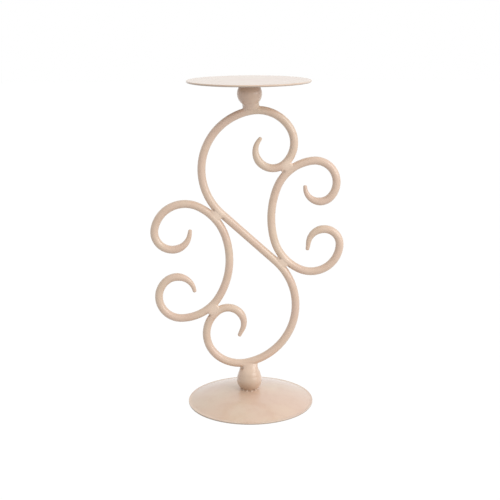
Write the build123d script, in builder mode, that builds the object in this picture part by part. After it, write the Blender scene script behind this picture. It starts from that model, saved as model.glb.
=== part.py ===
from build123d import *
import os
from math import acos, atan2, cos, degrees, radians, sin, sqrt

os.makedirs("parts", exist_ok=True)

# Lengths are millimetres and angles degrees. X is to the viewer's right, Z is up, and every bar is bent in
# the plane Y = 0. The origin is the middle of the base, on the surface that it stands on.

# Stock
bar_diameter = 8.0
tip_diameter = 3.6
taper_length = 25.0
tip_rounding = 1.5

# Balls, each with a flat that seats on the sheet beside it. Both are welded a little off the middle
lower_ball_diameter = 25.4
lower_ball_flat_depth = 2.7
lower_ball_offset = -1.2
upper_ball_diameter = 24.2
upper_ball_flat_depth = 1.1
upper_ball_offset = 0.6

# Candle plate
plate_diameter = 120.0
plate_thickness = 2.0
plate_edge_rounding = 0.8

# Base dome, pressed from sheet and hollow below, with a narrow flat rim
base_diameter = 127.0
base_rise = 13.0
base_sheet = 1.5
rim_width = 2.5
rim_bend_radius = 4.0
rim_edge_rounding = 0.4

# Welds
lower_root_gap = 1.5
upper_root_gap = 0.2
scroll_root_gap = 0.2
scroll_weld_length = 13.0
scroll_weld_depth = 0.4
scroll_weld_rounding = 1.2
lower_neck_width = 17.4
lower_neck_lean = 1.0
upper_neck_width = 15.8
upper_neck_lean = 6.5
neck_seat_depth = 0.5
base_tack_diameter = 3.4
base_tack_ring_diameter = 16.8
base_tack_count = 12
plate_tack_diameter = 4.2
plate_tack_ring_diameter = 14.4
plate_tack_count = 8

# Main scroll, an S: two bows joined by a straight diagonal, and an arm that curls in from each ball
lower_seat_lean = 7.5
lower_bar_slope = 11.8
upper_seat_lean = 7.0
upper_bar_slope = 9.1
diagonal_slope = 42.3
lower_bow_radius = 62.0
upper_bow_radius = 58.5
main_lower_shoulder_radius = 35.5
main_lower_shoulder_angle = 47.0
main_lower_bend_radius = 30.5
main_lower_bend_angle = 108.0
main_lower_curl_radius = 16.0
main_lower_curl_angle = 153.0
main_lower_tip_length = 8.0
main_upper_shoulder_radius = 36.5
main_upper_shoulder_angle = 67.0
main_upper_bend_radius = 27.5
main_upper_bend_angle = 80.0
main_upper_curl_radius = 17.0
main_upper_curl_angle = 168.0
main_upper_tip_length = 4.0

# Left scroll, a C that opens to the left
left_back_radius = 74.5
left_upper_back_angle = 19.0
left_upper_shoulder_radius = 50.5
left_upper_shoulder_angle = 45.0
left_upper_bend_radius = 31.0
left_upper_bend_angle = 106.0
left_upper_curl_radius = 17.5
left_upper_curl_angle = 180.0
left_upper_tip_length = 6.0
left_lower_back_angle = 32.0
left_lower_shoulder_radius = 45.5
left_lower_shoulder_angle = 56.0
left_lower_bend_radius = 22.0
left_lower_bend_angle = 144.0
left_lower_curl_radius = 17.0
left_lower_curl_angle = 113.0
left_lower_tip_length = 3.5

# Right scroll, a C that opens to the right
right_back_radius = 84.5
right_upper_back_angle = 21.0
right_upper_shoulder_radius = 42.0
right_upper_shoulder_angle = 62.0
right_upper_bend_radius = 21.5
right_upper_bend_angle = 137.0
right_upper_curl_radius = 14.5
right_upper_curl_angle = 139.0
right_upper_tip_length = 2.0
right_lower_back_angle = 15.0
right_lower_shoulder_radius = 46.0
right_lower_shoulder_angle = 50.0
right_lower_bend_radius = 28.0
right_lower_bend_angle = 113.0
right_lower_curl_radius = 15.5
right_lower_curl_angle = 174.5
right_lower_tip_length = 8.0

bar_radius = bar_diameter / 2
lower_ball_radius = lower_ball_diameter / 2
upper_ball_radius = upper_ball_diameter / 2
LEFT, RIGHT = 1, -1
UP, DOWN = 90, -90
TIP_SECTIONS = 8


def along(heading):
    """The unit step on the drawing plane for a heading, anticlockwise from +X."""
    return Vector(cos(radians(heading)), sin(radians(heading)))


def arc_centre(point, heading, radius, turn):
    """The centre of the arc that leaves a point on a heading. A positive turn bends left."""
    return point + along(heading + (90 if turn > 0 else -90)) * radius


def run_end(point, heading, run):
    """Where a run ends, and its heading there. A run is (radius, turn), or (length, 0) when it is straight."""
    size, turn = run
    if turn == 0:
        return point + along(heading) * size, heading
    centre = arc_centre(point, heading, size, turn)
    return centre + (point - centre).rotate(Axis.Z, turn), heading + turn


def chain_end(point, heading, runs):
    """Where a chain of tangent runs ends, and its heading there."""
    for run in runs:
        point, heading = run_end(point, heading, run)
    return point, heading


def run_length(run):
    """The length of a run along the bar."""
    size, turn = run
    return size * radians(abs(turn)) if turn else size


def part_of_run(run, share):
    """The first share of a run."""
    size, turn = run
    return (size, turn * share) if turn else (size * share, 0)


def first_part(runs, length):
    """The runs that cover a length from the start of a chain."""
    kept = []
    for run in runs:
        share = min(1, length / run_length(run))
        if share > 0:
            kept.append(part_of_run(run, share))
        length -= run_length(run)
    return kept


def section_plane(point, heading):
    """The plane square to the bar at a point on the drawing plane."""
    ahead = along(heading)
    return Plane(origin=(point.X, 0, point.Y), x_dir=(0, 1, 0), z_dir=(ahead.X, 0, ahead.Y))


def bend_bar(point, arms):
    """A round bar that leaves a point by two arms, each a heading and its runs, and tapers to both tips."""
    bodies = []
    for heading, runs in arms:
        full_length = sum(run_length(run) for run in runs) - taper_length
        bodies.append((heading, runs, full_length))

    with BuildPart() as bar:
        with BuildLine(Plane.XZ) as centreline:
            for heading, runs, full_length in bodies:
                start = point
                for run in first_part(runs, full_length):
                    end, next_heading = run_end(start, heading, run)
                    ahead = along(heading)
                    if run[1]:
                        JernArc((start.X, start.Y), (ahead.X, ahead.Y), run[0], run[1])
                    else:
                        Line((start.X, start.Y), (end.X, end.Y))
                    start, heading = end, next_heading
        with BuildSketch(Plane(origin=centreline.line @ 0, x_dir=(0, 1, 0), z_dir=centreline.line % 0)):
            Circle(bar_radius)
        sweep()
        for heading, runs, full_length in bodies:
            for section in range(TIP_SECTIONS + 1):
                share = section / TIP_SECTIONS
                reached = first_part(runs, full_length + taper_length * share)
                with BuildSketch(section_plane(*chain_end(point, heading, reached))):
                    Circle(bar_radius + (tip_diameter / 2 - bar_radius) * share)
            loft()
            tip, _ = chain_end(point, heading, runs)
            rims = bar.edges().sort_by_distance(Vector(tip.X, 0, tip.Y))
            fillet(rims[0], tip_rounding)
    return bar


def meeting(first, first_reach, second, second_reach, side):
    """The point at its reach from each of two points, on the chosen side of the line from first to second."""
    step = second - first
    gap = step.length
    forward = (first_reach**2 - second_reach**2 + gap**2) / (2 * gap)
    aside = sqrt(first_reach**2 - forward**2)
    ahead = step.normalized()
    return first + ahead * forward + Vector(-ahead.Y, ahead.X) * (side * aside)


def weld_place(main_centre, main_radius, scroll_centre):
    """The middle of the gap between two bars that pass side by side, and their shared heading there."""
    across = scroll_centre - main_centre
    middle = main_centre + across.normalized() * (main_radius + bar_radius + scroll_root_gap / 2)
    return middle, degrees(atan2(across.Y, across.X)) + 90


# Main scroll, from the lower ball up to the upper ball
lower_ball_z = base_rise + lower_ball_radius - lower_ball_flat_depth
lower_reach = lower_ball_radius + bar_radius + lower_root_gap
upper_reach = upper_ball_radius + bar_radius + upper_root_gap
lower_contact = Vector(lower_ball_offset, lower_ball_z) + along(lower_seat_lean + 90) * lower_reach
diagonal_heading = 180 - diagonal_slope
lower_bow = (lower_bow_radius, diagonal_heading - lower_bar_slope)
upper_bow = (upper_bow_radius, upper_bar_slope - diagonal_heading)
diagonal_start, _ = run_end(lower_contact, lower_bar_slope, lower_bow)
upper_bow_span, _ = run_end(Vector(0, 0), diagonal_heading, upper_bow)

# The diagonal is as long as it takes to bring the upper ball over the base
upper_contact_x = upper_ball_offset + upper_reach * sin(radians(upper_seat_lean))
diagonal_width = upper_contact_x - upper_bow_span.X - diagonal_start.X
diagonal_length = diagonal_width / along(diagonal_heading).X
diagonal_end = diagonal_start + along(diagonal_heading) * diagonal_length
upper_contact = diagonal_end + upper_bow_span
upper_ball_z = (upper_contact + along(upper_seat_lean + 90) * upper_reach).Y
plate_underside = upper_ball_z + upper_ball_radius - upper_ball_flat_depth

main_lower_shoulder = (main_lower_shoulder_radius, -main_lower_shoulder_angle)
main_lower_arm = [
    main_lower_shoulder,
    (main_lower_bend_radius, -main_lower_bend_angle),
    (main_lower_curl_radius, -main_lower_curl_angle),
    (main_lower_tip_length, 0),
]
main_upper_shoulder = (main_upper_shoulder_radius, -main_upper_shoulder_angle)
main_upper_arm = [
    lower_bow,
    (diagonal_length, 0),
    upper_bow,
    main_upper_shoulder,
    (main_upper_bend_radius, -main_upper_bend_angle),
    (main_upper_curl_radius, -main_upper_curl_angle),
    (main_upper_tip_length, 0),
]

# The arcs of the main scroll that the side scrolls lean on
lower_bow_centre = arc_centre(lower_contact, lower_bar_slope, lower_bow_radius, LEFT)
upper_bow_centre = arc_centre(diagonal_end, diagonal_heading, upper_bow_radius, RIGHT)
lower_bend_start = run_end(lower_contact, lower_bar_slope + 180, main_lower_shoulder)
lower_bend_centre = arc_centre(*lower_bend_start, main_lower_bend_radius, RIGHT)
upper_bend_start = run_end(upper_contact, upper_bar_slope, main_upper_shoulder)
upper_bend_centre = arc_centre(*upper_bend_start, main_upper_bend_radius, RIGHT)

# Left scroll: it touches the upper bow and the lower bend
left_upper_back = (left_back_radius, left_upper_back_angle)
left_lower_back = (left_back_radius, -left_lower_back_angle)
left_upper_arm = [
    left_upper_back,
    (left_upper_shoulder_radius, left_upper_shoulder_angle),
    (left_upper_bend_radius, left_upper_bend_angle),
    (left_upper_curl_radius, left_upper_curl_angle),
    (left_upper_tip_length, 0),
]
left_lower_arm = [
    left_lower_back,
    (left_lower_shoulder_radius, -left_lower_shoulder_angle),
    (left_lower_bend_radius, -left_lower_bend_angle),
    (left_lower_curl_radius, -left_lower_curl_angle),
    (left_lower_tip_length, 0),
]
bar_pitch = bar_diameter + scroll_root_gap
left_upper_offset = arc_centre(*run_end(Vector(), UP, left_upper_back), left_upper_shoulder_radius, LEFT)
left_lower_offset = arc_centre(*run_end(Vector(), DOWN, left_lower_back), left_lower_shoulder_radius, RIGHT)
left_back = meeting(
    upper_bow_centre - left_upper_offset,
    upper_bow_radius + left_upper_shoulder_radius + bar_pitch,
    lower_bend_centre - left_lower_offset,
    main_lower_bend_radius + left_lower_shoulder_radius + bar_pitch,
    RIGHT,
)
left_upper_weld_at = weld_place(upper_bow_centre, upper_bow_radius, left_back + left_upper_offset)
left_lower_weld_at = weld_place(lower_bend_centre, main_lower_bend_radius, left_back + left_lower_offset)

# Right scroll: it touches the upper bend and the lower bow
right_upper_back = (right_back_radius, -right_upper_back_angle)
right_lower_back = (right_back_radius, right_lower_back_angle)
right_upper_arm = [
    right_upper_back,
    (right_upper_shoulder_radius, -right_upper_shoulder_angle),
    (right_upper_bend_radius, -right_upper_bend_angle),
    (right_upper_curl_radius, -right_upper_curl_angle),
    (right_upper_tip_length, 0),
]
right_lower_arm = [
    right_lower_back,
    (right_lower_shoulder_radius, right_lower_shoulder_angle),
    (right_lower_bend_radius, right_lower_bend_angle),
    (right_lower_curl_radius, right_lower_curl_angle),
    (right_lower_tip_length, 0),
]
right_upper_offset = arc_centre(*run_end(Vector(), UP, right_upper_back), right_upper_shoulder_radius, RIGHT)
right_lower_offset = arc_centre(*run_end(Vector(), DOWN, right_lower_back), right_lower_shoulder_radius, LEFT)
right_back = meeting(
    upper_bend_centre - right_upper_offset,
    main_upper_bend_radius + right_upper_shoulder_radius + bar_pitch,
    lower_bow_centre - right_lower_offset,
    lower_bow_radius + right_lower_shoulder_radius + bar_pitch,
    LEFT,
)
right_upper_weld_at = weld_place(upper_bend_centre, main_upper_bend_radius, right_back + right_upper_offset)
right_lower_weld_at = weld_place(lower_bow_centre, lower_bow_radius, right_back + right_lower_offset)

main_scroll = bend_bar(lower_contact, [(lower_bar_slope + 180, main_lower_arm), (lower_bar_slope, main_upper_arm)])
main_scroll.part.label = "main_scroll"
export_step(main_scroll.part, "parts/main_scroll.step")

left_scroll = bend_bar(left_back, [(UP, left_upper_arm), (DOWN, left_lower_arm)])
left_scroll.part.label = "left_scroll"
export_step(left_scroll.part, "parts/left_scroll.step")

right_scroll = bend_bar(right_back, [(UP, right_upper_arm), (DOWN, right_lower_arm)])
right_scroll.part.label = "right_scroll"
export_step(right_scroll.part, "parts/right_scroll.step")

# Base dome: concentric outer and inner spheres, turned out to a flat rim
base_radius = base_diameter / 2
dome_radius = base_radius - rim_width
crown = base_rise - base_sheet
sphere_radius = (dome_radius**2 + crown**2) / (2 * crown)
sphere_centre = base_rise - sphere_radius
outer_rim_angle = degrees(acos(dome_radius / sphere_radius))
inner_foot_radius = sqrt((sphere_radius - base_sheet) ** 2 - sphere_centre**2)
inner_foot_angle = degrees(acos(inner_foot_radius / (sphere_radius - base_sheet)))

with BuildPart() as base_dome:
    with BuildSketch(Plane.XZ):
        with BuildLine():
            Line((inner_foot_radius, 0), (base_radius, 0))
            Line((base_radius, 0), (base_radius, base_sheet))
            Line((base_radius, base_sheet), (dome_radius, base_sheet))
            CenterArc((0, sphere_centre), sphere_radius, outer_rim_angle, 90 - outer_rim_angle)
            Line((0, base_rise), (0, base_rise - base_sheet))
            CenterArc((0, sphere_centre), sphere_radius - base_sheet, inner_foot_angle, 90 - inner_foot_angle)
        make_face()
        fillet(vertices().sort_by_distance((dome_radius, base_sheet))[0], rim_bend_radius)
        fillet(vertices().sort_by_distance((base_radius, base_sheet))[0], rim_edge_rounding)
    revolve(axis=Axis.Z)
base_dome.part.label = "base_dome"
export_step(base_dome.part, "parts/base_dome.step")

with BuildPart() as lower_ball:
    with Locations((lower_ball_offset, 0, lower_ball_z)):
        Sphere(lower_ball_radius)
    split(bisect_by=Plane.XY.offset(base_rise), keep=Keep.TOP)
lower_ball.part.label = "lower_ball"
export_step(lower_ball.part, "parts/lower_ball.step")

with BuildPart() as upper_ball:
    with Locations((upper_ball_offset, 0, upper_ball_z)):
        Sphere(upper_ball_radius)
    split(bisect_by=Plane.XY.offset(plate_underside), keep=Keep.BOTTOM)
upper_ball.part.label = "upper_ball"
export_step(upper_ball.part, "parts/upper_ball.step")

with BuildPart() as top_plate:
    with BuildSketch(Plane.XY.offset(plate_underside)):
        Circle(plate_diameter / 2)
    extrude(amount=plate_thickness)
    fillet(top_plate.edges(), plate_edge_rounding)
top_plate.part.label = "top_plate"
export_step(top_plate.part, "parts/top_plate.step")

# Welds between the main scroll and the side scrolls: the space between the bars, filled almost flush
scroll_welds = (
    ("left_upper_weld", left_upper_weld_at, left_scroll),
    ("left_lower_weld", left_lower_weld_at, left_scroll),
    ("right_upper_weld", right_upper_weld_at, right_scroll),
    ("right_lower_weld", right_lower_weld_at, right_scroll),
)
for weld_name, (middle, heading), side_scroll in scroll_welds:
    ahead = along(heading)
    weld_plane = Plane(origin=(middle.X, 0, middle.Y), x_dir=(ahead.X, 0, ahead.Y), z_dir=(0, -1, 0))
    with BuildPart() as scroll_weld:
        with BuildSketch(weld_plane):
            Ellipse(scroll_weld_length / 2, (bar_diameter + scroll_root_gap) / 2)
        extrude(amount=bar_radius - scroll_weld_depth, both=True)
        fillet(scroll_weld.edges(), scroll_weld_rounding)
        add(main_scroll.part, mode=Mode.SUBTRACT)
        add(side_scroll.part, mode=Mode.SUBTRACT)
    scroll_weld.part.label = weld_name
    export_step(scroll_weld.part, f"parts/{weld_name}.step")

# Neck welds: collars of weld from each ball to the bar that rests on it
lower_neck = (Vector(lower_ball_offset, lower_ball_z), lower_ball_radius, UP + lower_neck_lean)
upper_neck = (Vector(upper_ball_offset, upper_ball_z), upper_ball_radius, DOWN + upper_neck_lean)
neck_welds = (
    ("lower_neck_weld", lower_ball, lower_neck, lower_reach, lower_neck_width),
    ("upper_neck_weld", upper_ball, upper_neck, upper_reach, upper_neck_width),
)
for weld_name, ball, (ball_centre, ball_radius, heading), reach, neck_width in neck_welds:
    ahead = along(heading)
    seat = sqrt(ball_radius**2 - (neck_width / 2 + neck_seat_depth) ** 2)
    sections = (
        (seat, neck_width / 2),
        (reach, bar_radius - neck_seat_depth),
    )
    with BuildPart() as neck_weld:
        for distance, half_depth in sections:
            with BuildSketch(section_plane(ball_centre + ahead * distance, heading)):
                Ellipse(half_depth, neck_width / 2)
        loft()
        add(ball.part, mode=Mode.SUBTRACT)
        add(main_scroll.part, mode=Mode.SUBTRACT)
    neck_weld.part.label = weld_name
    export_step(neck_weld.part, f"parts/{weld_name}.step")

# Tack welds: beads in the crevice between each ball and the sheet beside it
base_tack_reach = base_tack_ring_diameter / 2
plate_tack_reach = plate_tack_ring_diameter / 2
base_crevice_top = lower_ball_z - sqrt(lower_ball_radius**2 - base_tack_reach**2)
plate_crevice_foot = upper_ball_z + sqrt(upper_ball_radius**2 - plate_tack_reach**2)
base_tack_place = (lower_ball_offset, 0, (base_rise + base_crevice_top) / 2)
plate_tack_place = (upper_ball_offset, 0, (plate_underside + plate_crevice_foot) / 2)
base_tacks = (base_tack_place, base_tack_reach, base_tack_count, base_tack_diameter / 2)
plate_tacks = (plate_tack_place, plate_tack_reach, plate_tack_count, plate_tack_diameter / 2)
tack_welds = (
    ("base_weld_tacks", lower_ball, base_dome, base_tacks),
    ("plate_weld_tacks", upper_ball, top_plate, plate_tacks),
)
for weld_name, ball, sheet, (ring_place, ring_radius, tack_count, tack_radius) in tack_welds:
    with BuildPart() as weld_tacks:
        with Locations(ring_place):
            with PolarLocations(ring_radius, tack_count, start_angle=180 / tack_count):
                Sphere(tack_radius)
        add(ball.part, mode=Mode.SUBTRACT)
        add(sheet.part, mode=Mode.SUBTRACT)
    weld_tacks.part.label = weld_name
    export_step(weld_tacks.part, f"parts/{weld_name}.step")

plate_top = plate_underside + plate_thickness
print(f"height {plate_top:.2f}, diagonal {diagonal_length:.2f}, ball centres {lower_ball_z:.2f} {upper_ball_z:.2f}")
print(f"main scroll meets the balls at {lower_contact.X:.2f} {lower_contact.Y:.2f} and {upper_contact.X:.2f}")
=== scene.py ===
"""A candle stand of welded steel scrolls: its paint, its weld seams and the studio round it."""

import logging
from dataclasses import dataclass
from enum import Enum
from math import radians

import bpy
from mathutils import Euler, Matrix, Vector


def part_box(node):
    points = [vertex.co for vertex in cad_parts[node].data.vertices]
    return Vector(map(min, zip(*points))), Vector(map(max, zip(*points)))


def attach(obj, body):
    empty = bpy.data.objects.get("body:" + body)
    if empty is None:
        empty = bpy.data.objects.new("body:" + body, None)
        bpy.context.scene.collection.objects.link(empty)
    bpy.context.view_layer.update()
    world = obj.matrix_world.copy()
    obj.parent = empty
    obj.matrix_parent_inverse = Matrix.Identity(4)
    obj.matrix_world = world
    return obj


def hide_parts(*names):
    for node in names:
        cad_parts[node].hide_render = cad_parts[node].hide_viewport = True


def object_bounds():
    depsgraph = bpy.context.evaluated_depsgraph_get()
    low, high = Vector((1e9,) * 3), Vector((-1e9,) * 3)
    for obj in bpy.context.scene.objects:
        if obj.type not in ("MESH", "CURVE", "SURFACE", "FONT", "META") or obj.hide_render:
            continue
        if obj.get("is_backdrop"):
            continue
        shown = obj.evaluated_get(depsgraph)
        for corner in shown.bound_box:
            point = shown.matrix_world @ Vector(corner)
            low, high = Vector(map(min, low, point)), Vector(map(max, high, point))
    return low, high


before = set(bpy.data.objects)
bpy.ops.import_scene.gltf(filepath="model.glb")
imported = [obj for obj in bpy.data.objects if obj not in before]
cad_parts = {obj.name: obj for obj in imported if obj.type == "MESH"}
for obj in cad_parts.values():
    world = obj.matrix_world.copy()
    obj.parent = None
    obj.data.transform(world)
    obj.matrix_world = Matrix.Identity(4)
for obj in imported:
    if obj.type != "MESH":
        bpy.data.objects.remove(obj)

LOG = logging.getLogger("candle_stand")
MM = 0.001
MERGE_GAP = 0.001 * MM
BODY = "root"

Colour = tuple[float, float, float, float]
Place = tuple[float, float, float]


def srgb(red: int, green: int, blue: int) -> Colour:
    """The linear colour that shows as an sRGB colour.

    Args:
        red: Red from 0 to 255.
        green: Green from 0 to 255.
        blue: Blue from 0 to 255.

    Returns:
        The linear colour, opaque.
    """

    def linear(value: int) -> float:
        """One channel, from sRGB to linear."""
        share = value / 255
        return share / 12.92 if share <= 0.04045 else ((share + 0.055) / 1.055) ** 2.4

    return linear(red), linear(green), linear(blue), 1.0


class Mixing(Enum):
    """How a colour is laid over another."""

    COVER = "MIX"
    TINT = "MULTIPLY"


class Side(Enum):
    """The side of the stand that a C scroll is on."""

    LEFT = "left"
    RIGHT = "right"


class Level(Enum):
    """The level of a weld between the S and a C scroll."""

    UPPER = "upper"
    LOWER = "lower"


class Wire:
    """An output socket of a shader node, which takes part in sums."""

    def __init__(self, tree: "ShaderTree", socket: bpy.types.NodeSocket) -> None:
        """Wrap a socket.

        Args:
            tree: The tree that the socket's node is in.
            socket: The output socket.
        """
        self.tree = tree
        self.socket = socket

    def _sum(self, operation: str, first: "Wire | float", second: "Wire | float") -> "Wire":
        """One Math node.

        Args:
            operation: Blender's name of the operation.
            first: The first value.
            second: The second value.

        Returns:
            The result.
        """
        return self.tree.node("ShaderNodeMath", {"operation": operation}, {0: first, 1: second})

    def __add__(self, other: "Wire | float") -> "Wire":
        """This value plus another."""
        return self._sum("ADD", self, other)

    __radd__ = __add__

    def __sub__(self, other: "Wire | float") -> "Wire":
        """This value less another."""
        return self._sum("SUBTRACT", self, other)

    def __rsub__(self, other: float) -> "Wire":
        """Another value less this one."""
        return self._sum("SUBTRACT", other, self)

    def __mul__(self, other: "Wire | float") -> "Wire":
        """This value times another."""
        return self._sum("MULTIPLY", self, other)

    __rmul__ = __mul__


class ShaderTree:
    """A node tree that is written as calls and sums."""

    def __init__(self, tree: bpy.types.NodeTree) -> None:
        """Empty a node tree.

        Args:
            tree: The tree to fill.
        """
        self.tree = tree
        tree.nodes.clear()

    def node(
        self,
        kind: str,
        settings: dict[str, object] | None = None,
        sockets: dict[str | int, object] | None = None,
        output: str | int = 0,
    ) -> Wire | None:
        """Add a node.

        Args:
            kind: Blender's name of the node's type.
            settings: The node's properties, set before its sockets.
            sockets: Values or wires, by the input's name or number.
            output: The output's name or number.

        Returns:
            The output, or nothing where the node has none.
        """
        made = self.tree.nodes.new(kind)
        for name, value in (settings or {}).items():
            setattr(made, name, value)
        for name, value in (sockets or {}).items():
            if isinstance(value, Wire):
                self.tree.links.new(value.socket, made.inputs[name])
            else:
                made.inputs[name].default_value = value
        return Wire(self, made.outputs[output]) if made.outputs else None

    def noise(self, place: Wire, size: float, detail: float, stretch: Place = (1, 1, 1)) -> Wire:
        """A soft random pattern.

        Args:
            place: The coordinates, in metres.
            size: The size of one patch, in metres.
            detail: The number of finer layers.
            stretch: How many times longer the patches are along each axis.

        Returns:
            The value, around 0.5.
        """
        scale = tuple(1 / (size * share) for share in stretch)
        scaled = self.node("ShaderNodeMapping", {}, {"Vector": place, "Scale": scale})
        sockets = {"Vector": scaled, "Scale": 1.0, "Detail": detail}
        return self.node("ShaderNodeTexNoise", {}, sockets, "Fac")

    def between(self, value: Wire, low: float, high: float) -> Wire:
        """A mask that rises smoothly from 0 to 1.

        Args:
            value: The value that drives it.
            low: Where the mask leaves 0. It may lie above high.
            high: Where the mask reaches 1.

        Returns:
            The mask.
        """
        settings = {"interpolation_type": "SMOOTHSTEP"}
        sockets = {"Value": value, "From Min": low, "From Max": high}
        return self.node("ShaderNodeMapRange", settings, sockets)

    def blend(
        self, share: Wire, below: Wire | Colour, above: Wire | Colour, mixing: Mixing
    ) -> Wire:
        """One colour laid over another.

        Args:
            share: How much of the upper colour shows.
            below: The lower colour.
            above: The upper colour.
            mixing: How the upper one is laid.

        Returns:
            The colour.
        """
        settings = {"data_type": "RGBA", "blend_type": mixing.value}
        return self.node("ShaderNodeMix", settings, {0: share, 6: below, 7: above}, 2)


@dataclass(frozen=True)
class Tone:
    """A round patch in which the paint has another colour: painted shade where it is darker, and a
    painted highlight where it is paler.

    The place and the reach are in millimetres. The colour fades out towards the reach.
    """

    place: Place
    reach: float
    colour: Colour
    share: float


@dataclass(frozen=True)
class Band:
    """A level band of painted shade, in which the paint is darker. Its heights are in millimetres.
    """

    low: float
    high: float
    fade: float
    colour: Colour
    share: float


@dataclass(frozen=True)
class Pit:
    """A small dent in weld metal, with painted shade inside it. The place and the reach are in
    millimetres.
    """

    place: Place
    reach: float

    def depth_at(self, point: Vector) -> float:
        """How deep the dent is at a point.

        Args:
            point: The point, in metres.

        Returns:
            The share of the full depth.
        """
        away = (point / MM - Vector(self.place)).length / self.reach
        return max(0.0, 1.0 - away * away)


@dataclass(frozen=True)
class Roll:
    """A ring of weld metal that fills the corner round a ball's neck, in millimetres."""

    centre: Place
    radius: float
    reach: float
    height: float

    def share_at(self, point: Vector) -> float:
        """How much of the roll's height is at a point.

        Args:
            point: The point, in metres.

        Returns:
            The share.
        """
        from_centre = point / MM - Vector(self.centre)
        away = Vector((from_centre.xy.length - self.radius, from_centre.z)).length / self.reach
        return max(0.0, 1.0 - away * away) ** 2


# painted shade, laid inside the weld pits and dents
PIT_SHADE = srgb(150, 122, 100)
# painted shade under and around the lower ball and its foot
FOOT_SHADE = srgb(176, 146, 122)
# painted highlight, laid on the crotch welds
WELD_HIGHLIGHT = srgb(250, 226, 204)
# painted shade for the vertical rim faces of the base and the plate
EDGE_SHADE = srgb(148, 143, 138)
# the pits are real dents in the seams, and the paint also lays painted shade in them
LOWER_NECK_PITS = (Pit((-8.5, -3.8, 35.9), 2.6), Pit((-5.0, -7.9, 36.5), 1.7))
UPPER_NECK_PITS = (
    Pit((-6.9, -3.5, 301.0), 3.0),
    Pit((-4.5, -5.0, 298.0), 1.8),
    Pit((-2.4, -5.2, 296.5), 1.5),
)
FOOT_PITS = (
    Pit((-7.4, -5.4, 15.0), 3.0),
    Pit((-4.2, -7.6, 15.0), 2.4),
    Pit((-1.9, -8.8, 14.8), 1.7),
    Pit((3.2, -8.5, 14.8), 1.9),
)
CROTCH_PITS = (
    Pit((-35.1, -3.0, 200.2), 2.2),
    Pit((-25.7, -3.0, 191.8), 2.2),
    Pit((-41.2, -3.0, 91.9), 2.2),
    Pit((33.7, -3.0, 238.2), 2.2),
    Pit((29.9, -3.0, 150.9), 2.2),
    Pit((38.9, -3.0, 141.9), 2.2),
)
SHALLOW_PIT = 0.4 * MM
LOWER_NECK_ROLL = Roll((-0.8, 0.0, 32.0), radius=9.4, reach=5.2, height=1.0)
# painted shade round the ball's foot and painted highlights on the four crotch welds
TONES = (
    Tone((0.0, 0.0, 12.5), 12.5, FOOT_SHADE, 0.3),
    Tone((-30.4, -4.0, 195.0), 10.0, WELD_HIGHLIGHT, 0.8),
    Tone((-36.3, -4.0, 98.7), 10.0, WELD_HIGHLIGHT, 0.6),
    Tone((37.5, -4.0, 245.3), 10.0, WELD_HIGHLIGHT, 0.6),
    Tone((33.9, -4.0, 147.1), 10.0, WELD_HIGHLIGHT, 0.6),
)
# painted shade round the tack welds at the ball's foot
TACK_SHADE_TONES = (Tone((0.0, 0.0, 12.5), 20.0, FOOT_SHADE, 0.9),)
# painted shade on the lower ball's underside and its front
BALL_SHADE_TONES = (
    Tone((-4.0, -9.0, 13.0), 21.0, FOOT_SHADE, 0.75),
    Tone((0.0, -10.0, 24.0), 15.0, FOOT_SHADE, 0.25),
)
# painted shade along the base rim's lower edge and the plate's rim face
BASE_RIM_SHADE = Band(0.0, 0.7, 0.5, EDGE_SHADE, 0.6)
PLATE_RIM_SHADE = Band(324.0, 325.0, 0.4, EDGE_SHADE, 0.45)


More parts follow.
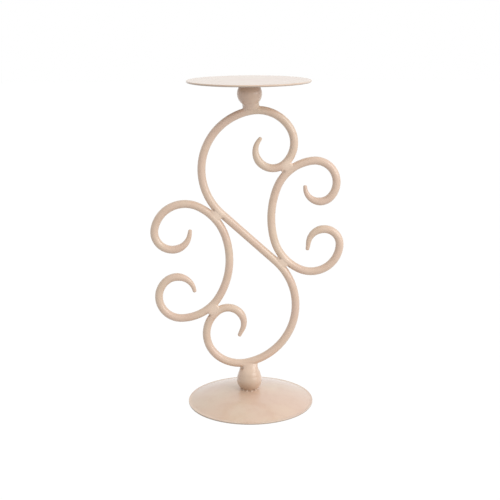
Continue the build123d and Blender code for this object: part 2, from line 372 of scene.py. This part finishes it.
@dataclass(frozen=True)
class CreamPaint:
    """Satin cream paint, brushed over steel: warm in its thick parts, and a little uneven.

    An edge gives the two noise values between which a colour fades in. The tones, pits and bands
    lay painted shade and painted highlights over the paint.
    """

    name: str
    tones: tuple[Tone, ...] = TONES
    bands: tuple[Band, ...] = (BASE_RIM_SHADE, PLATE_RIM_SHADE)
    pits: tuple[Pit, ...] = LOWER_NECK_PITS + UPPER_NECK_PITS + FOOT_PITS + CROTCH_PITS
    # painted shade inside the pits
    pit_shade_colour: Colour = PIT_SHADE
    pit_shade_share: float = 0.75
    cream: Colour = srgb(227, 199, 176)
    blush: Colour = srgb(225, 195, 174)
    blush_edge: tuple[float, float] = (0.46, 0.66)
    straw: Colour = srgb(227, 202, 178)
    straw_edge: tuple[float, float] = (0.5, 0.34)
    shade: Colour = srgb(248, 244, 240)
    shade_edge: tuple[float, float] = (0.45, 0.7)
    shade_share: float = 0.5
    patch_size: float = 38 * MM
    cloud_size: float = 9 * MM
    peel_size: float = 1.1 * MM
    brush_size: float = 0.5 * MM
    brush_stretch: Place = (1, 1, 14)
    peel_share: float = 0.7
    peel_depth: float = 0.05 * MM
    peel_strength: float = 0.5
    roughness: float = 0.36
    cloud_roughness: float = 0.14
    peel_roughness: float = 0.1
    coat: float = 0.8
    coat_roughness: float = 0.17

    def material(self) -> bpy.types.Material:
        """The paint as a material.

        Returns:
            The material.
        """
        made = bpy.data.materials.new(self.name)
        made.use_nodes = True
        tree = ShaderTree(made.node_tree)
        place = tree.node("ShaderNodeTexCoord", output="Object")
        clouds = tree.noise(place, self.cloud_size, detail=3.0)
        peel = tree.noise(place, self.peel_size, detail=2.0)
        colour = self._mixed(tree, place, clouds)
        colour = self._toned(tree, place, colour)
        colour = self._banded(tree, place, colour)
        cloudy = (clouds - 0.5) * self.cloud_roughness
        peeled = (peel - 0.5) * self.peel_roughness
        sockets = {
            "Base Color": colour,
            "Roughness": self.roughness + cloudy + peeled,
            "Normal": self._relief(tree, place, peel),
            "Coat Weight": self.coat,
            "Coat Roughness": self.coat_roughness,
        }
        surface = tree.node("ShaderNodeBsdfPrincipled", {}, sockets)
        tree.node("ShaderNodeOutputMaterial", {}, {"Surface": surface})
        return made

    def _mixed(self, tree: ShaderTree, place: Wire, clouds: Wire) -> Wire:
        """The cream with its blush and straw patches and its cloudy shade.

        Args:
            tree: The material's tree.
            place: The coordinates.
            clouds: The cloudy pattern.

        Returns:
            The colour.
        """
        patches = tree.noise(place, self.patch_size, detail=2.0)
        blushed = tree.between(patches, *self.blush_edge)
        colour = tree.blend(blushed, self.cream, self.blush, Mixing.COVER)
        strawed = tree.between(patches, *self.straw_edge)
        colour = tree.blend(strawed, colour, self.straw, Mixing.COVER)
        shaded = tree.between(clouds, *self.shade_edge) * self.shade_share
        return tree.blend(shaded, colour, self.shade, Mixing.TINT)

    def _toned(self, tree: ShaderTree, place: Wire, colour: Wire) -> Wire:
        """A colour with the tones of painted shade and highlight, and the painted shade in the
        pits, laid over it.

        Args:
            tree: The material's tree.
            place: The coordinates.
            colour: The colour below.

        Returns:
            The colour.
        """
        # each pit gets a round patch of painted shade
        dark = (Tone(pit.place, pit.reach, self.pit_shade_colour, self.pit_shade_share) for pit in self.pits)
        for tone in (*self.tones, *dark):
            ends = {0: place, 1: Vector(tone.place) * MM}
            away = tree.node("ShaderNodeVectorMath", {"operation": "DISTANCE"}, ends, "Value")
            share = tree.between(away, tone.reach * MM, 0.0) * tone.share
            colour = tree.blend(share, colour, tone.colour, Mixing.COVER)
        return colour

    def _banded(self, tree: ShaderTree, place: Wire, colour: Wire) -> Wire:
        """A colour with the level bands of painted shade laid over it.

        Args:
            tree: The material's tree.
            place: The coordinates.
            colour: The colour below.

        Returns:
            The colour.
        """
        height = tree.node("ShaderNodeSeparateXYZ", {}, {0: place}, "Z")
        for band in self.bands:
            above = tree.between(height, (band.low - band.fade) * MM, band.low * MM)
            below = tree.between(height, (band.high + band.fade) * MM, band.high * MM)
            share = above * below * band.share
            colour = tree.blend(share, colour, band.colour, Mixing.COVER)
        return colour

    def _relief(self, tree: ShaderTree, place: Wire, peel: Wire) -> Wire:
        """The skin's fine peel and brush marks.

        Args:
            tree: The material's tree.
            place: The coordinates.
            peel: The peel's pattern.

        Returns:
            The surface direction.
        """
        brush = tree.noise(place, self.brush_size, detail=1.0, stretch=self.brush_stretch)
        height = peel * self.peel_share + brush * (1 - self.peel_share)
        sockets = {"Strength": self.peel_strength, "Distance": self.peel_depth, "Height": height}
        return tree.node("ShaderNodeBump", {}, sockets)


@dataclass(frozen=True)
class BareStudio:
    """The white floor and air of the studio."""

    seen_share: float = 0.9
    seen_glow: float = 1.08
    floor_colour: Colour = (0.55, 0.55, 0.55, 1.0)
    air_colour: Colour = (1.0, 1.0, 1.0, 1.0)
    bright_side: Place = (0.5, -0.4, 0.77)
    bright_air: float = 0.93
    dim_air: float = 0.1
    seen_air: float = 1.0

    def floor(self) -> bpy.types.Material:
        """A floor that is white to the camera and keeps a faint shadow.

        Returns:
            The material.
        """
        made = bpy.data.materials.new("studio_floor")
        made.use_nodes = True
        tree = ShaderTree(made.node_tree)
        seen = self._seen(tree) * self.seen_share
        matte = tree.node("ShaderNodeBsdfDiffuse", {}, {"Color": self.floor_colour})
        lit = {"Color": self.air_colour, "Strength": self.seen_glow}
        glow = tree.node("ShaderNodeEmission", {}, lit)
        surface = tree.node("ShaderNodeMixShader", {}, {0: seen, 1: matte, 2: glow})
        tree.node("ShaderNodeOutputMaterial", {}, {"Surface": surface})
        return made

    def air(self) -> bpy.types.World:
        """Soft light from above, the right and the front, white where it is seen or mirrored.

        Returns:
            The world.
        """
        made = bpy.data.worlds.new("studio_air")
        made.use_nodes = True
        tree = ShaderTree(made.node_tree)
        looking = tree.node("ShaderNodeTexCoord", output="Generated")
        ends = {0: looking, 1: Vector(self.bright_side).normalized()}
        facing = tree.node("ShaderNodeVectorMath", {"operation": "DOT_PRODUCT"}, ends, "Value")
        dim, bright, white = (
            tree.node("ShaderNodeBackground", {}, {"Color": self.air_colour, "Strength": strength})
            for strength in (self.dim_air, self.bright_air, self.seen_air)
        )
        bright_share = tree.between(facing, -1.0, 1.0)
        lit = tree.node("ShaderNodeMixShader", {}, {0: bright_share, 1: dim, 2: bright})
        surface = tree.node("ShaderNodeMixShader", {}, {0: self._seen(tree), 1: lit, 2: white})
        tree.node("ShaderNodeOutputWorld", {}, {"Surface": surface})
        return made

    @staticmethod
    def _seen(tree: ShaderTree) -> Wire:
        """Where the camera, a mirror or glass looks.

        Args:
            tree: The tree that asks.

        Returns:
            1 for such a look, and 0 for light that is scattered.
        """
        rays = ("Is Camera Ray", "Is Glossy Ray", "Is Transmission Ray")
        camera, glossy, glass = (tree.node("ShaderNodeLightPath", output=ray) for ray in rays)
        return camera + glossy + glass


@dataclass(frozen=True)
class Softbox:
    """A square studio lamp that looks at the middle of the stand."""

    name: str
    place: Place
    side: float
    power: float


@dataclass(frozen=True)
class Studio:
    """The floor, lamps and camera. The camera's dip and roll are in degrees."""

    stand_height: float
    floor_side: float = 8.0
    lamps: tuple[Softbox, ...] = (Softbox("key_lamp", (1.25, -0.9, 0.8), side=1.2, power=10.0),)
    camera_place: Place = (0.0002, -0.9894, 0.4036)
    camera_dip: float = 13.89
    camera_roll: float = -0.32
    camera_lens: float = 73.92
    sensor_width: float = 36.0

    def build(self) -> None:
        """Make the floor, the air, the lamps and the camera."""
        self._lay_floor()
        bpy.context.scene.world = BareStudio().air()
        for lamp in self.lamps:
            self._hang(lamp)
        self._set_camera()
        bpy.context.scene.view_settings.view_transform = "Standard"

    def _lay_floor(self) -> None:
        """Lay the floor under the stand."""
        bpy.ops.mesh.primitive_plane_add(size=self.floor_side, location=(0, 0, 0))
        floor = bpy.context.active_object
        floor.name = "studio_floor"
        floor.data.materials.append(BareStudio().floor())
        floor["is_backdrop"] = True

    def _hang(self, lamp: Softbox) -> None:
        """Hang a lamp.

        Args:
            lamp: The lamp.
        """
        bpy.ops.object.light_add(type="AREA", location=lamp.place)
        made = bpy.context.active_object
        made.name = lamp.name
        made.data.size = lamp.side
        made.data.energy = lamp.power
        aim = Vector((0, 0, self.stand_height / 2)) - Vector(lamp.place)
        made.rotation_euler = aim.to_track_quat("-Z", "Y").to_euler()

    def _set_camera(self) -> None:
        """Put the camera where the photograph was taken from."""
        bpy.ops.object.camera_add(location=self.camera_place)
        camera = bpy.context.active_object
        camera.name = "camera"
        turn = Euler((radians(90 - self.camera_dip), 0, 0))
        turn.rotate_axis("Z", radians(self.camera_roll))
        camera.rotation_euler = turn
        camera.data.sensor_width = self.sensor_width
        camera.data.lens = self.camera_lens
        bpy.context.scene.camera = camera


@dataclass(frozen=True)
class WeldSeam:
    """Weld metal under paint, drawn in one skin over a weld and the ends of the pieces it joins.

    The skin lies just below the pieces, and comes out of them where it fills the corners of the
    weld. Its metal starts a skirt's width outside the weld's box, and fades in from there.
    """

    weld: str
    joined: tuple[str, ...]
    reach: float = 3.5 * MM
    grain: float = 0.35 * MM
    softness: float = 0.5
    rounds: int = 14
    sink: float = 0.05 * MM
    ripple_depth: float = 0.25 * MM
    ripple_size: float = 3.0 * MM
    swell: float = 0.0
    skirt: float = 1.0 * MM
    fade: float = 2.0 * MM
    pits: tuple[Pit, ...] = ()
    pit_depth: float = 0.7 * MM
    roll: Roll | None = None

    @classmethod
    def on_scroll(cls, side: Side, level: Level) -> "WeldSeam":
        """The seam between the S and a C scroll.

        Args:
            side: The C scroll's side.
            level: The weld's level.

        Returns:
            The seam.
        """
        weld = f"{side.value}_{level.value}_weld"
        joined = ("main_scroll", f"{side.value}_scroll")
        return cls(weld, joined, pits=CROTCH_PITS, pit_depth=SHALLOW_PIT)

    def build(self, paint: bpy.types.Material) -> bpy.types.Object:
        """Make the seam in place of the plain weld.

        Args:
            paint: The paint on it.

        Returns:
            The seam.
        """
        low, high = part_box(self.weld)
        margin = Vector((self.reach, self.reach, self.reach))
        parts = [copy_node(self.weld, "weld_copy")]
        for node in self.joined:
            parts.append(copy_node(node, "joined_copy"))
            trim(parts[-1], low - margin, high + margin)
        seam = join(parts, f"{self.weld}_seam")
        self._melt(seam)
        self._mark(seam)
        self._shape(seam)
        dress(seam, paint)
        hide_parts(self.weld)
        return seam

    def _melt(self, seam: bpy.types.Object) -> None:
        """Run the copies together into one rounded skin.

        Args:
            seam: The joined copies.
        """
        apply_modifier(seam, "REMESH", mode="VOXEL", voxel_size=self.grain)
        apply_modifier(seam, "SMOOTH", factor=self.softness, iterations=self.rounds)

    def _mark(self, seam: bpy.types.Object) -> None:
        """Mark where the skin is weld metal, where it is dented and where the roll fills it.

        Args:
            seam: The skin.
        """
        low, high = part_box(self.weld)
        metal = seam.vertex_groups.new(name="metal")
        dents = seam.vertex_groups.new(name="dents")
        filled = seam.vertex_groups.new(name="filled")
        for vertex in seam.data.vertices:
            sides = zip(low, vertex.co, high)
            inside = min(min(at - start, end - at) for start, at, end in sides) + self.skirt
            shares = (
                (metal, min(1.0, inside / self.fade)),
                (dents, max((pit.depth_at(vertex.co) for pit in self.pits), default=0.0)),
                (filled, self.roll.share_at(vertex.co) if self.roll else 0.0),
            )
            for group, share in shares:
                if share > 0:
                    group.add([vertex.index], share, "REPLACE")

    def _shape(self, seam: bpy.types.Object) -> None:
        """Fill, swell, dent and ripple the metal, and sink the skin below the pieces it joins.

        Args:
            seam: The marked skin.
        """
        if self.roll:
            push(seam, self.roll.height * MM, "filled")
        if self.swell != 0:
            push(seam, self.swell, "metal")
        if self.pits:
            push(seam, -self.pit_depth, "dents")
        bumps = bpy.data.textures.new("weld_ripple", "CLOUDS")
        bumps.noise_scale = self.ripple_size
        push(seam, self.ripple_depth, "metal", texture=bumps, mid_level=0.5)
        push(seam, -self.sink)


def select_only(piece: bpy.types.Object) -> None:
    """Select one piece and make it active.

    Args:
        piece: The piece.
    """
    bpy.ops.object.select_all(action="DESELECT")
    piece.select_set(True)
    bpy.context.view_layer.objects.active = piece


def copy_node(node: str, name: str) -> bpy.types.Object:
    """Copy a CAD node's mesh and merge its loose triangles.

    Args:
        node: The CAD node.
        name: The copy's name.

    Returns:
        The copy.
    """
    copy = bpy.data.objects.new(name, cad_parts[node].data.copy())
    bpy.context.scene.collection.objects.link(copy)
    copy.data.materials.clear()
    select_only(copy)
    bpy.ops.mesh.customdata_custom_splitnormals_clear()
    bpy.ops.object.mode_set(mode="EDIT")
    bpy.ops.mesh.select_all(action="SELECT")
    bpy.ops.mesh.remove_doubles(threshold=MERGE_GAP)
    bpy.ops.object.mode_set(mode="OBJECT")
    return copy


def trim(piece: bpy.types.Object, low: Vector, high: Vector) -> None:
    """Cut a closed piece down to a box and close its ends.

    Args:
        piece: The piece.
        low: The box's lowest corner.
        high: The box's highest corner.
    """
    select_only(piece)
    bpy.ops.object.mode_set(mode="EDIT")
    for corner, sign in ((low, -1), (high, 1)):
        for axis in range(3):
            normal = Vector((0, 0, 0))
            normal[axis] = sign
            bpy.ops.mesh.select_all(action="SELECT")
            bpy.ops.mesh.bisect(plane_co=corner, plane_no=normal, use_fill=True, clear_outer=True)
    bpy.ops.object.mode_set(mode="OBJECT")


def join(parts: list[bpy.types.Object], name: str) -> bpy.types.Object:
    """Join meshes into one piece.

    Args:
        parts: The meshes.
        name: The piece's name.

    Returns:
        The piece.
    """
    select_only(parts[0])
    for part in parts:
        part.select_set(True)
    bpy.ops.object.join()
    parts[0].name = name
    return parts[0]


def apply_modifier(piece: bpy.types.Object, kind: str, **settings: object) -> None:
    """Add a modifier and apply it.

    Args:
        piece: The piece.
        kind: Blender's name of the modifier's type.
        settings: The modifier's properties.
    """
    select_only(piece)
    modifier = piece.modifiers.new(kind.lower(), kind)
    for name, value in settings.items():
        setattr(modifier, name, value)
    bpy.ops.object.modifier_apply(modifier=modifier.name)


def push(
    piece: bpy.types.Object,
    depth: float,
    group: str = "",
    texture: bpy.types.Texture | None = None,
    mid_level: float = 0.0,
) -> None:
    """Push a piece's skin outwards, or inwards where the depth is below 0.

    Args:
        piece: The piece.
        depth: How far a full share moves, in metres.
        group: The vertex group that holds the shares. Without one, the whole skin moves.
        texture: The pattern that varies the push.
        mid_level: The pattern's value that stays where it is.
    """
    shares = {"vertex_group": group, "texture": texture, "mid_level": mid_level}
    apply_modifier(piece, "DISPLACE", strength=depth, **shares)


def dress(piece: bpy.types.Object, paint: bpy.types.Material) -> None:
    """Paint a new piece, smooth it and let it ride on the stand.

    Args:
        piece: The piece.
        paint: Its paint.
    """
    select_only(piece)
    piece.data.materials.clear()
    piece.data.materials.append(paint)
    bpy.ops.object.shade_smooth()
    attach(piece, BODY)


@dataclass(frozen=True)
class CandleStand:
    """The painted stand: its plate, balls, scrolls and base as they are, and its welds as seams."""

    plain: tuple[str, ...] = (
        "top_plate",
        "upper_ball",
        "main_scroll",
        "left_scroll",
        "right_scroll",
        "lower_ball",
        "base_dome",
    )
    seams: tuple[WeldSeam, ...] = (
        *(WeldSeam.on_scroll(side, level) for side in Side for level in Level),
        WeldSeam(
            "upper_neck_weld",
            ("upper_ball", "main_scroll"),
            swell=0.5 * MM,
            pits=UPPER_NECK_PITS,
        ),
        WeldSeam(
            "lower_neck_weld",
            ("lower_ball", "main_scroll"),
            reach=8.0 * MM,
            swell=0.45 * MM,
            pits=LOWER_NECK_PITS,
            roll=LOWER_NECK_ROLL,
        ),
        WeldSeam(
            "plate_weld_tacks",
            ("upper_ball", "top_plate"),
            reach=1.5 * MM,
            grain=0.3 * MM,
            rounds=8,
        ),
        WeldSeam(
            "base_weld_tacks",
            ("lower_ball", "base_dome"),
            reach=1.5 * MM,
            grain=0.3 * MM,
            rounds=12,
            swell=-0.5 * MM,
            pits=FOOT_PITS,
            pit_depth=SHALLOW_PIT,
        ),
    )

    def build(self) -> None:
        """Paint the plain pieces and make the seams."""
        paint = CreamPaint("cream_paint").material()
        # the lower ball, its neck weld and the foot tacks get copies of the paint with painted
        # shade
        shaded = CreamPaint("lower_ball_painted_shade", tones=BALL_SHADE_TONES).material()
        toned = {
            "lower_ball": shaded,
            "lower_neck_weld": shaded,
            "base_weld_tacks": CreamPaint("tack_painted_shade", tones=TACK_SHADE_TONES).material(),
        }
        for node in self.plain:
            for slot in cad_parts[node].material_slots:
                slot.material = toned.get(node, paint)
            LOG.info("painted %s", node)
        for seam in self.seams:
            made = seam.build(toned.get(seam.weld, paint))
            LOG.info("made %s with %d faces", made.name, len(made.data.polygons))


def main() -> None:
    """Dress the stand and set it in the studio."""
    logging.basicConfig(level=logging.INFO, format="%(message)s")
    cad_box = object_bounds()
    bpy.ops.object.select_all(action="DESELECT")
    CandleStand().build()
    Studio(stand_height=cad_box[1].z).build()


if __name__ == "__main__":
    main()
